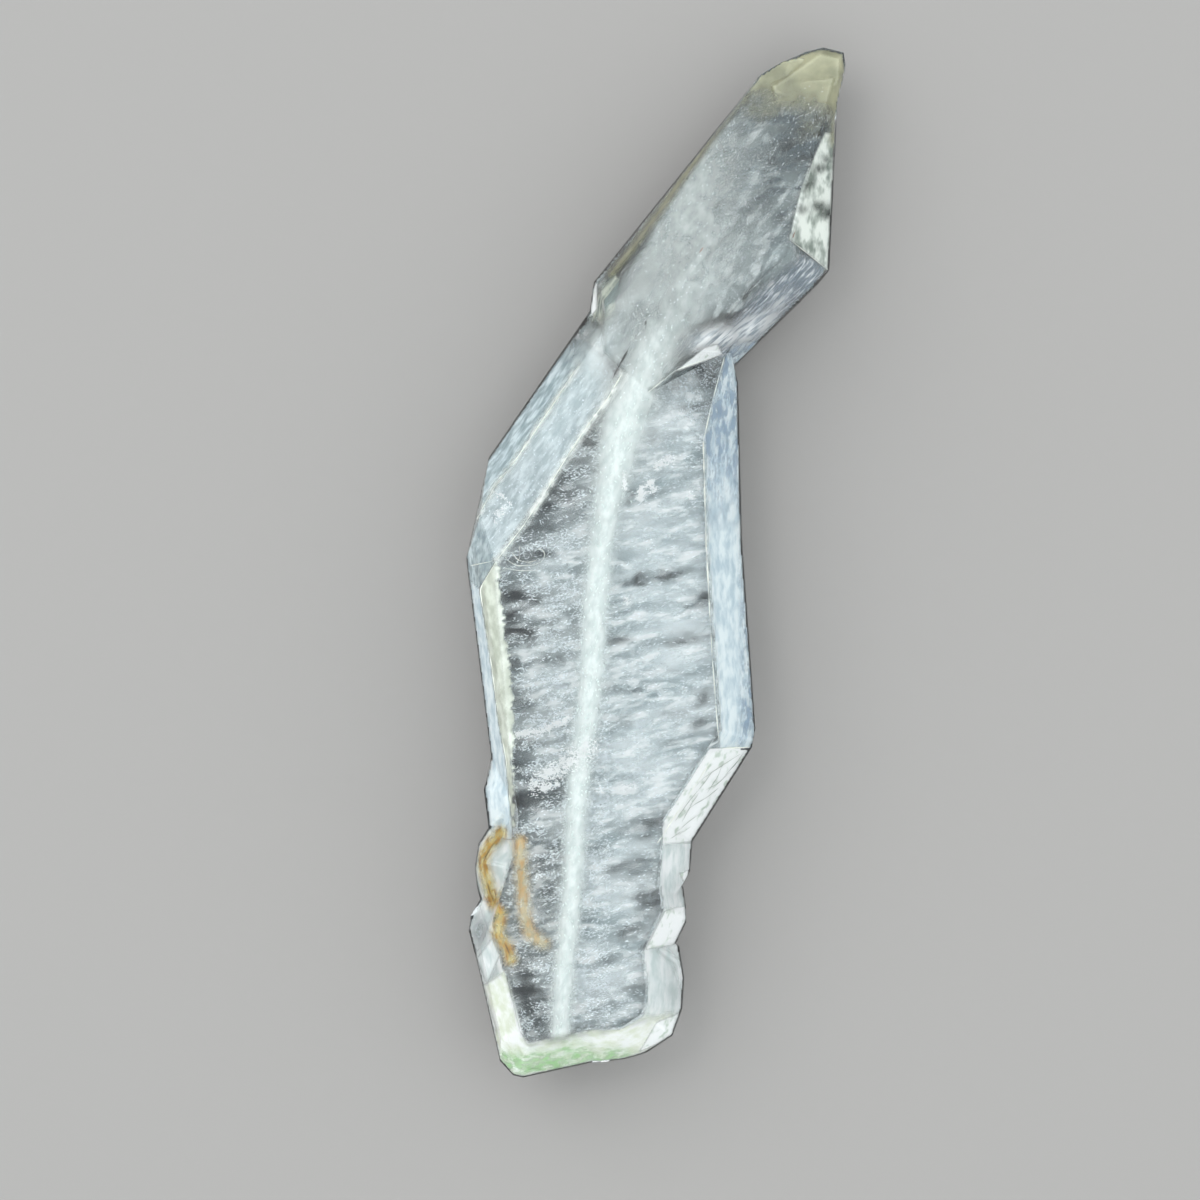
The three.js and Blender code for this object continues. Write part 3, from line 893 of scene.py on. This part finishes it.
def cream_strip(x, y):
    """The strip between its left line and the front face, whose side of it is ragged by noise."""
    ragged = 0.35 * (cloud(x / 0.25, y / 0.18, 89) - 0.5)
    strip = right_of(x, y, STRIP_LEFT, 0.1) * (1 - right_of(x - 0.15 + ragged, y, FACE_LEFT, 0.15))
    return strip * (1 - above(x, y, STEEP_TOP, 0.1)) * above(x, y, CREAM_FOOT, 0.1)


def blue_strip(x, y):
    """The narrow bevel left of the cream strip, down to the knobs."""
    strip = (1 - right_of(x, y, STRIP_LEFT, 0.1)) * slope_share(x, y)
    return strip * (1 - above(x, y, STEEP_TOP, 0.1)) * above(x, y, LEFT_FOOT, 0.1)


def low_slopes(x, y):
    """The knobs and steps low on both sides, down to the foot, clear in a few spots."""
    left = (thread_side(x, y) < 0) * (1 - above(x, y, LEFT_FOOT, 0.1))
    right = (thread_side(x, y) > 0) * (1 - above(x, y, FACET_FOOT, 0.1))
    return slope_share(x, y) * (left + right) * (1 - blots(x, y, GLASSY_SPOTS))


def knob_whites(x, y):
    """White bands inside the knobs' outline and the cream facet under the lowest knob."""
    bands = np.maximum(along_line(x, y, KNOB_BAND, 9), along_line(x, y, STEP_EDGE, 6))
    return np.maximum(bands, inside(x, y, CREAM_FACET, 0.2)) * slope_share(x, y)


def bevel_density(x, y):
    """An even mist wherever the front isn't the flat face, mottled at about a millimetre."""
    mottle = 0.45 + 0.55 * cloud(x / 0.7, y / 0.9, 61)
    return slope_share(x, y) * mottle * (1 - cream_strip(x, y))


# Etched quartz scatters blue light best, so the mist is a cool white. Its bluer glints are painted
# light, in a film of their own.
blue_mist = clouded(
    "blue_white_bevel", "#d6e5ed", "#f7fcfd",
    grain=0.6, limits=(0.32, 0.6), cover=(0.82, 0.97), tilt=80, stretch=1.6,
)
painted_blue_glints = clouded(
    "painted_blue_glints", "#b6cadd", "#e4eef4",
    grain=0.5, limits=(0.4, 0.6), cover=(0.8, 0.0), tilt=60, stretch=2.0,
)
# The left bands are etched more unevenly, so the mist there breaks into grey and white.
grey_mist = clouded(
    "grey_white_bevel", "#b4c6cc", "#f0f8fa",
    grain=0.35, limits=(0.34, 0.66), cover=(0.6, 0.95), tilt=55, stretch=2.5,
)
# Fine clay in the pores of the strip makes a warm, dull cream.
cream_mist = clouded(
    "cream_bevel", "#d6dacd", "#f2f5ec", grain=0.8, limits=(0.35, 0.65), cover=(0.85, 0.97)
)
# Low down the mist is thick and nearly white.
pale_mist = clouded(
    "pale_foot_slopes", "#e2ebea", "#ffffff",
    grain=0.7, limits=(0.35, 0.62), cover=(0.84, 0.96), tilt=80, stretch=2,
)
# Single etch pits show as pale blue flecks.
etch_pits, _, _ = surface("misty_bevel_quartz", {"Base Color": linear("#eef5fb"), "Roughness": 0.5})
film("bevel_right_film", right_bevel, blue_mist, depth=0.3)
film("bevel_gleam", gleam_share, painted_blue_glints, depth=0.2)
film("bands_left_film", left_bands, grey_mist, depth=0.4)
film("cream_strip_film", cream_strip, cream_mist, depth=0.15)
film("blue_strip_film", blue_strip, blue_mist, depth=0.25)
film("low_slopes_film", low_slopes, pale_mist, depth=0.4)
film("knob_whites", knob_whites, pale_mist, depth=0.2)
flecks(
    "bevel_mist", bevel_density, BEVEL_BOX, etch_pits,
    count=10000, depth=(0.0, 0.35), seed=15, turn=None, lengths=(0.08, 0.2), widths=(0.03, 0.06),
)

# Bright facets. Small steep faces that throw the light back white, painted as white films just
# under them. Fine dark cracks cross the large one, and painted dark reflections lie in the upper one.
WEDGE = [(647, 396), (675, 373), (722, 355), (716, 346), (686, 355)]
SMALL_FACETS = [
    [(664, 908), (685, 906), (686, 922), (679, 944), (645, 946)],
    [(679, 873), (691, 869), (685, 884)],
    [(656, 1020), (682, 1012), (674, 1036), (640, 1050)],
    [(590, 318), (590, 292), (597, 284), (597, 310)],
]
GLEAM = [((718, 340), (26, 9), 14, 1), ((750, 328), (26, 10), 30, 1), ((778, 304), (16, 6), 40, 0.5)]
UPPER_INNER = [(824, 132), (813, 158), (799, 195), (788, 243), (790, 262)]
UPPER_FOOT = [(780, 238), (788, 243), (829, 271), (840, 278)]
UPPER_TOP = [(780, 134), (850, 134)]
FACET_SPOTS = [
    ((829, 212), (9, 6), 0, 1), ((817, 207), (6, 4), 20, 0.8), ((806, 188), (8, 3), 30, 0.6),
    ((818, 170), (7, 4), 30, 0.6), ((826, 160), (5, 4), 0, 0.4), ((800, 212), (6, 4), 0, 0.4),
]
FACET_CRACKS = [
    [(741, 753), (729, 760), (716, 768), (702, 777), (694, 786)], [(731, 771), (716, 784), (704, 789)],
    [(719, 787), (706, 797), (692, 804), (684, 812)], [(703, 811), (690, 819), (677, 830)],
    [(723, 761), (717, 776), (706, 793)], [(744, 751), (736, 763), (727, 772)], [(692, 801), (681, 821)],
    [(692, 825), (676, 835)], [(712, 770), (700, 786), (688, 800), (674, 820)], [(738, 760), (722, 778)],
    [(709, 803), (697, 813)], [(684, 829), (668, 838)], [(699, 791), (688, 806)],
]
STRAND_STEP = 0.12
STRAND_SIDES = 6


def strand(name, lines, material, radius, depth, rough):
    """Closed tubes along lines of photo pixels, a depth under the front, thinner at both ends.

    The radius swells and pinches along each line by smooth noise, as strongly as rough says.
    """
    points, faces = [], []
    turn = np.linspace(0, 2 * np.pi, STRAND_SIDES, endpoint=False)[None, :, None]
    for number, line in enumerate(lines):
        spots = polyline(line)
        length = np.concatenate([[0], np.cumsum(np.hypot(*np.diff(spots, axis=0).T))])
        count = max(int(length[-1] / STRAND_STEP), 5)
        at = np.linspace(0, length[-1], count)
        x = smooth(np.interp(at, length, spots[:, 0]), 2)
        y = smooth(np.interp(at, length, spots[:, 1]), 2)
        z = smooth(look_up(skin_map, x, y, 3) - depth, 2)
        middle = np.stack([x, y, z], 1)
        run = np.gradient(middle, axis=0)
        run /= np.linalg.norm(run, axis=1)[:, None]
        side = np.cross(run, [0, 0, 1])
        side /= np.linalg.norm(side, axis=1)[:, None]
        up = np.cross(side, run)
        ends = np.clip(np.minimum(np.arange(count), np.arange(count)[::-1]) / 4, 0.05, 1) ** 0.5
        swell = 1 + rough * (cloud(at / 0.5 + 17 * number, 0 * at + 3, 7) - 0.5)
        ring = radius * (ends * swell)[:, None, None]
        shell = middle[:, None] + ring * (side[:, None] * np.cos(turn) + up[:, None] * np.sin(turn))
        faces += tube_faces(sum(len(p) for p in points), count, STRAND_SIDES)
        points.append(shell.reshape(-1, 3))
    return sealed(name, np.concatenate(points), faces, material)


def small_facets(x, y):
    """The wedge at the upper blade's foot and the small facets on both sides."""
    return np.max([inside(x, y, outline) for outline in [WEDGE, *SMALL_FACETS]], axis=0)


def end_gleam(x, y):
    """Three soft spots of painted highlight along the upper blade's end facet."""
    return blots(x, y, GLEAM)


def facet_lower(x, y):
    """The slanting facet at the lower right, between the two levels of its ends."""
    side = slope_share(x, y) * (thread_side(x, y) > 0)
    return side * (1 - above(x, y, FACET_TOP, 0.05)) * above(x, y, FACET_FOOT, 0.05)


def facet_upper(x, y):
    """The narrow triangle at the upper blade's right edge."""
    beside = right_of(x, y, UPPER_INNER, 0.1)
    return beside * above(x, y, UPPER_FOOT, 0.1) * (1 - above(x, y, UPPER_TOP, 0.1))


def facet_spots(x, y):
    """Soft spots of painted dark reflection within the narrow triangle."""
    return facet_upper(x, y) * blots(x, y, FACET_SPOTS)


# Painted light: the light that the small facets throw back, as a bright, even white with a trace of
# green.
painted_facet_glare = clouded(
    "painted_facet_glare_film", "#d9e2d8", "#ffffff", grain=0.6, limits=(0.32, 0.46), cover=(0.9, 0.98)
)
# Painted highlight: light that grazes growth lines breaks into long gleams, painted in a film.
painted_gleams = clouded(
    "painted_gleaming_streaks", "#d3dfe9", "#ffffff",
    grain=0.28, limits=(0.36, 0.54), cover=(0.35, 0.97), tilt=38, stretch=4,
)
# Painted reflections: the upper facet mirrors light and dark by turns, so it looks blotched.
painted_blotched_reflections = clouded(
    "painted_blotched_facet", "#a1aca3", "#fbfdf8",
    grain=0.9, limits=(0.34, 0.56), cover=(0.75, 0.97), tilt=70, stretch=1.3,
)
# Painted reflection: where that facet mirrors the dark, it shows as soft grey-green spots.
painted_dark_spots = clouded(
    "dark_reflection", "#4f5a54", "#78827b", grain=0.4, limits=(0.35, 0.65), cover=(0.8, 0.4)
)
# Chlorite and dirt in the cracks draw them as thin grey-green lines.
crack, _, _ = surface("dark_crack", {"Base Color": linear("#66725f"), "Roughness": 0.7})
film("small_facets_film", small_facets, painted_facet_glare, depth=0.12)
film("end_gleam", end_gleam, painted_gleams, depth=0.15)
film("facet_lower_film", facet_lower, painted_facet_glare, depth=0.2)
film("facet_upper_film", facet_upper, painted_blotched_reflections, depth=0.2)
film("facet_spots", facet_spots, painted_dark_spots, depth=0.1)
strand("facet_cracks", FACET_CRACKS, crack, radius=0.014, depth=0.06, rough=0.9)

# Foot. The crystal's flat foot is cream from fine clay and green with chlorite dust at its very
# end. Both lie in the outermost tenths of a millimetre of the quartz.
FOOT_BOX = (490, 1030, 650, 1080)
FOOT_LINE = [(480, 1030), (526, 1039), (553, 1037), (603, 1026), (640, 1014)]
FOOT_STRIP = [(484, 985), (507, 968), (519, 1012), (528, 1044), (505, 1050)]
GREEN_EDGE = 1064
GREEN_END = 645
GREEN_SPOTS = [
    ((541, 1058), (18, 9), 0, 1), ((582, 1052), (10, 9), 0, 0.9), ((612, 1054), (12, 7), 0, 0.8),
    ((567, 1044), (12, 9), 0, 0.55), ((500, 1060), (10, 8), 0, 0.8),
]
DUST_END = 640
DUST_SPOTS = [
    ((540, 1060), (14, 8), 0, 1), ((580, 1055), (8, 8), 0, 0.9), ((612, 1056), (10, 6), 0, 0.8),
    ((567, 1046), (10, 8), 0, 0.5),
]


def foot_band(x, y):
    """The bottom band under a ragged line, and the cream strip up the left foot."""
    ragged = 0.5 * (cloud(x / 0.6, y / 0.6, 94) - 0.5)
    band = 1 - above(x, y + ragged, FOOT_LINE, 0.7)
    strip = inside(x, y, FOOT_STRIP, 0.3)
    return np.clip(band + strip, 0, 1) * np.clip(slope_share(x, y) + strip, 0, 1)


def green_edge(x, y, height, strength, spots, end):
    """A bell of a height in millimetres along the bottom edge, with spots, as far as an end pixel."""
    edge = np.exp(-(((y - photo(0, GREEN_EDGE)[1]) / height) ** 2)) * strength
    return np.clip(edge + blots(x, y, spots), 0, 1) * (x < photo(end, 0)[0])


def green_share(x, y):
    """Chlorite glowing green through the bottom edge, strongest in three places."""
    return green_edge(x, y, 0.45, 0.75, GREEN_SPOTS, GREEN_END)


def dust_density(x, y):
    """Chlorite grains at the bottom edge, in three stronger spots and fading upwards."""
    return green_edge(x, y, 0.35, 0.7, DUST_SPOTS, DUST_END)


# Clay is an opaque warm white.
foot_cream = clouded(
    "clay_cream_quartz", "#f4f8e8", "#ffffff", grain=0.7, limits=(0.35, 0.62), cover=(0.85, 0.98)
)
# Chlorite is a leafy green, pale where it is thin and grainy where it is thick.
green_mist = clouded(
    "chlorite_mist", "#c8eebb", "#f3fded", grain=0.6, limits=(0.38, 0.62), cover=(0.75, 0.2)
)
chlorite = clouded("chlorite_dust", "#93cd7a", "#c6eab0", grain=0.4)
film("foot_film", foot_band, foot_cream, depth=0.2)
film("chlorite_film", green_share, green_mist, depth=0.1)
flecks(
    "chlorite", dust_density, FOOT_BOX, chlorite,
    count=2500, depth=(0.0, 0.15), seed=17, turn=None, lengths=(0.08, 0.2), widths=(0.05, 0.10),
)

# Iron stains. Two thin films of rust that crept with water into cracks at the lower left and dried
# there, olive and orange, with a darker line along parts of their edges.
STAIN_OUTER = [
    (502, 832), (490, 845), (483, 859), (489, 884), (494, 902), (502, 911), (499, 931), (508, 943),
    (512, 956),
]
STAIN_INNER = [(521, 839), (522, 866), (524, 897), (526, 916), (531, 931), (544, 940)]
STAIN_EDGES = [
    [(502, 833), (492, 846), (484, 860), (487, 878), (492, 896), (500, 912)],
    [(499, 931), (508, 944), (512, 955)], [(517, 868), (523, 866)], [(518, 898), (524, 899), (530, 898)],
]


def outer_stain(x, y):
    """A soft strip 10 px wide along the outer stain's line."""
    return along_line(x, y, STAIN_OUTER, 10)


def inner_stain(x, y):
    """A soft strip 11 px wide along the inner stain's line."""
    return along_line(x, y, STAIN_INNER, 11)


# Iron oxide runs from ochre, where it is thick, to a see-through yellow.
rust = clouded(
    "iron_oxide_stain", "#c4942c", "#fbe68c",
    grain=0.42, limits=(0.4, 0.58), cover=(0.88, 0.35), tilt=80, stretch=1.6,
)
peach = clouded(
    "pale_iron_stain", "#cda768", "#f4e4b4",
    grain=0.42, limits=(0.4, 0.6), cover=(0.85, 0.35), tilt=85, stretch=1.6,
)
# The dried rim of a stain is nearly brown.
rust_line, _, _ = surface("rust_line", {"Base Color": linear("#7c5a1e"), "Roughness": 0.6})
strand("stain_edges", STAIN_EDGES, rust_line, radius=0.025, depth=0.08, rough=1.9)
film("stain_outer", outer_stain, rust, depth=0.12)
film("stain_inner", inner_stain, peach, depth=0.2)

# Tip. The broken top is rough and carries a thin yellowish skin of clay and rust, which also runs
# down both edges of the upper blade as a narrow rim.
TIP_BOX = (600, 40, 850, 300)
TIP_FOOT = [(740, 82), (780, 98), (850, 108)]
LEFT_RIM = [(760, 70), (735, 105), (700, 155), (665, 205), (640, 240), (612, 275)]
RIGHT_RIM = [(842, 60), (839, 100), (836, 140)]


def tip_share(x, y):
    """Full at the top, fading down over a ragged line, and a narrow rim down both edges."""
    ragged = 1.6 * (cloud(x / 1.5, y / 1.0, 99) - 0.5) + 0.6 * (cloud(x / 0.4, y / 0.4, 90) - 0.5)
    rims = 0.6 * along_line(x, y, LEFT_RIM, 7) + 0.8 * along_line(x, y, RIGHT_RIM, 12)
    return np.clip(above(x, y + ragged, TIP_FOOT, 4.5) + rims, 0, 1)


# Dried clay is a dull khaki, barely see-through.
khaki = clouded("clay_skin", "#a9a88a", "#c5c3a6", grain=1.6, limits=(0.35, 0.65), cover=(0.8, 0.95))
film("tip_film", tip_share, khaki, depth=0.15)
flecks(
    "tip_skin", tip_share, TIP_BOX, khaki,
    count=2500, depth=(0.0, 0.2), seed=20, turn=None, lengths=(0.1, 0.25), widths=(0.08, 0.14),
)

# Ridges. The edges between the faces are rubbed white by wear, and their white lines also carry
# painted highlight, with a soft bloom of painted light along the two long ones on the left. Fine
# looped scratches cross the glass in the left corner.
RIDGES = [
    [(497, 562), (524, 527), (545, 495), (567, 459), (588, 427), (607, 402), (622, 376)],
    [(477, 520), (496, 487), (520, 456), (556, 402), (580, 365)],
    [(702, 442), (705, 547), (711, 655), (718, 747)],
    [(702, 442), (712, 400), (724, 357)],
    [(718, 747), (656, 842)], [(718, 747), (751, 747)],
    [(497, 563), (481, 589), (491, 653), (500, 721), (507, 757), (513, 817)],
    [(647, 395), (675, 372), (722, 354)],
    [(470, 566), (497, 561)],
    [(829, 271), (788, 243)],
]
FINE_LINES = [
    [(503, 549), (507, 560), (517, 566), (532, 566), (543, 562), (546, 554), (541, 548), (536, 551)],
    [(520, 545), (521, 557), (518, 563)], [(512, 552), (519, 561), (530, 563), (538, 560)],
    [(503, 568), (520, 571), (538, 571), (546, 568)],
]


def ridge_bloom(x, y):
    """A soft whitish bloom of painted light along the two long ridges on the left."""
    return np.maximum(along_line(x, y, RIDGES[0], 6), 0.75 * along_line(x, y, RIDGES[1], 6))


# Bruised quartz is full of tiny cracks, so it is a warm white; on the ridges the same white is also
# a painted highlight.
wear_and_highlight_white, _, _ = surface("ridge_wear_and_highlight", {"Base Color": linear("#fbfbf2"), "Roughness": 0.5})
# Painted light: a soft whitish bloom that lies along the left ridges.
ridge_white = clouded(
    "ridge_bloom", "#e2e8e3", "#fbfcf9", grain=0.4, limits=(0.38, 0.62), cover=(0.25, 0.85)
)
strand("ridges_wear_and_highlight", RIDGES, wear_and_highlight_white, radius=0.026, depth=0.08, rough=1.9)
film("ridge_bloom", ridge_bloom, ridge_white, depth=0.12)
strand("fine_lines", FINE_LINES, wear_and_highlight_white, radius=0.016, depth=0.3, rough=1.6)

# Bright bits. Fresh little cracks and larger bubbles just under the front that flash warm white, on
# both sides of the thread and at the upper blade's edges.
FLASH_BOX = (480, 150, 800, 820)
# Each flash is a line of pixels and how wide it is in pixels.
FLASHES = [
    ([(511, 736), (524, 732), (536, 731), (545, 728), (556, 723), (568, 718)], 5),
    ([(541, 783), (552, 772), (562, 765), (576, 756), (588, 748)], 14), ([(536, 790), (556, 782)], 5),
    ([(640, 499), (641, 492), (650, 484)], 6), ([(658, 467), (671, 461)], 6), ([(624, 475), (625, 490)], 3),
    ([(646, 487), (652, 490)], 6), ([(600, 788), (602, 790)], 5), ([(622, 786), (634, 784)], 4),
    ([(662, 170), (664, 172)], 5), ([(676, 172), (677, 173)], 4), ([(639, 242), (641, 246)], 6),
    ([(672, 198), (674, 200)], 4), ([(666, 203), (668, 206)], 4), ([(689, 497), (691, 498)], 4),
    ([(626, 600), (627, 602)], 4), ([(588, 335), (592, 345)], 6), ([(496, 520), (510, 506)], 6),
    ([(500, 495), (506, 500)], 4), ([(572, 330), (586, 346)], 4), ([(562, 374), (578, 356)], 5),
    ([(552, 360), (570, 350)], 4), ([(575, 300), (584, 312)], 3), ([(548, 398), (560, 392)], 5),
    ([(608, 245), (616, 236)], 4), ([(640, 212), (644, 206)], 4), ([(662, 186), (666, 180)], 4),
    ([(722, 350), (742, 340), (766, 324)], 4), ([(746, 348), (768, 332), (788, 312)], 3),
    ([(742, 362), (762, 346)], 3), ([(716, 340), (738, 334), (756, 330)], 5), ([(770, 312), (796, 290)], 2),
]


def flash_density(x, y):
    """Soft lines broken up by fine noise, so that each flash is a row of glints."""
    lines = np.max([along_line(x, y, line, wide) for line, wide in FLASHES], axis=0)
    return lines * (0.15 + 0.85 * soft_step(cloud(x / 0.22, y / 0.16, 91), 0.3, 0.8))


# A fresh crack holds air and sends nearly all the light back.
flash, _, _ = surface("fresh_crack_flash", {"Base Color": linear("#ffffff"), "Roughness": 0.3})
flecks(
    "bright_bits", flash_density, FLASH_BOX, flash,
    count=7000, depth=(0.0, 0.06), seed=21, turn=(20, 0.6), lengths=(0.07, 0.18), widths=(0.03, 0.07),
)

# Specks. A few grains of dark ore, and two of rust, that the upper blade grew around. They are short
# lumpy strands a fraction of a millimetre long.
ORE_GRAINS = [[(647, 316), (646, 321)], [(646, 323), (645, 329)], [(628, 352), (618, 370), (612, 384)]]
RUST_GRAINS = [[(698, 257), (703, 250)], [(790, 242), (794, 232)]]
# Ore is nearly black with a dull shine, and rust is a matt brown.
ore, _, _ = surface("dark_ore_grain", {"Base Color": linear("#23231f"), "Roughness": 0.4})
rust_grain, _, _ = surface("rust_grain", {"Base Color": linear("#8a5230"), "Roughness": 0.6})
strand("ore_grains", ORE_GRAINS, ore, radius=0.04, depth=0.2, rough=1.8)
strand("rust_grains", RUST_GRAINS, rust_grain, radius=0.07, depth=0.1, rough=1.5)
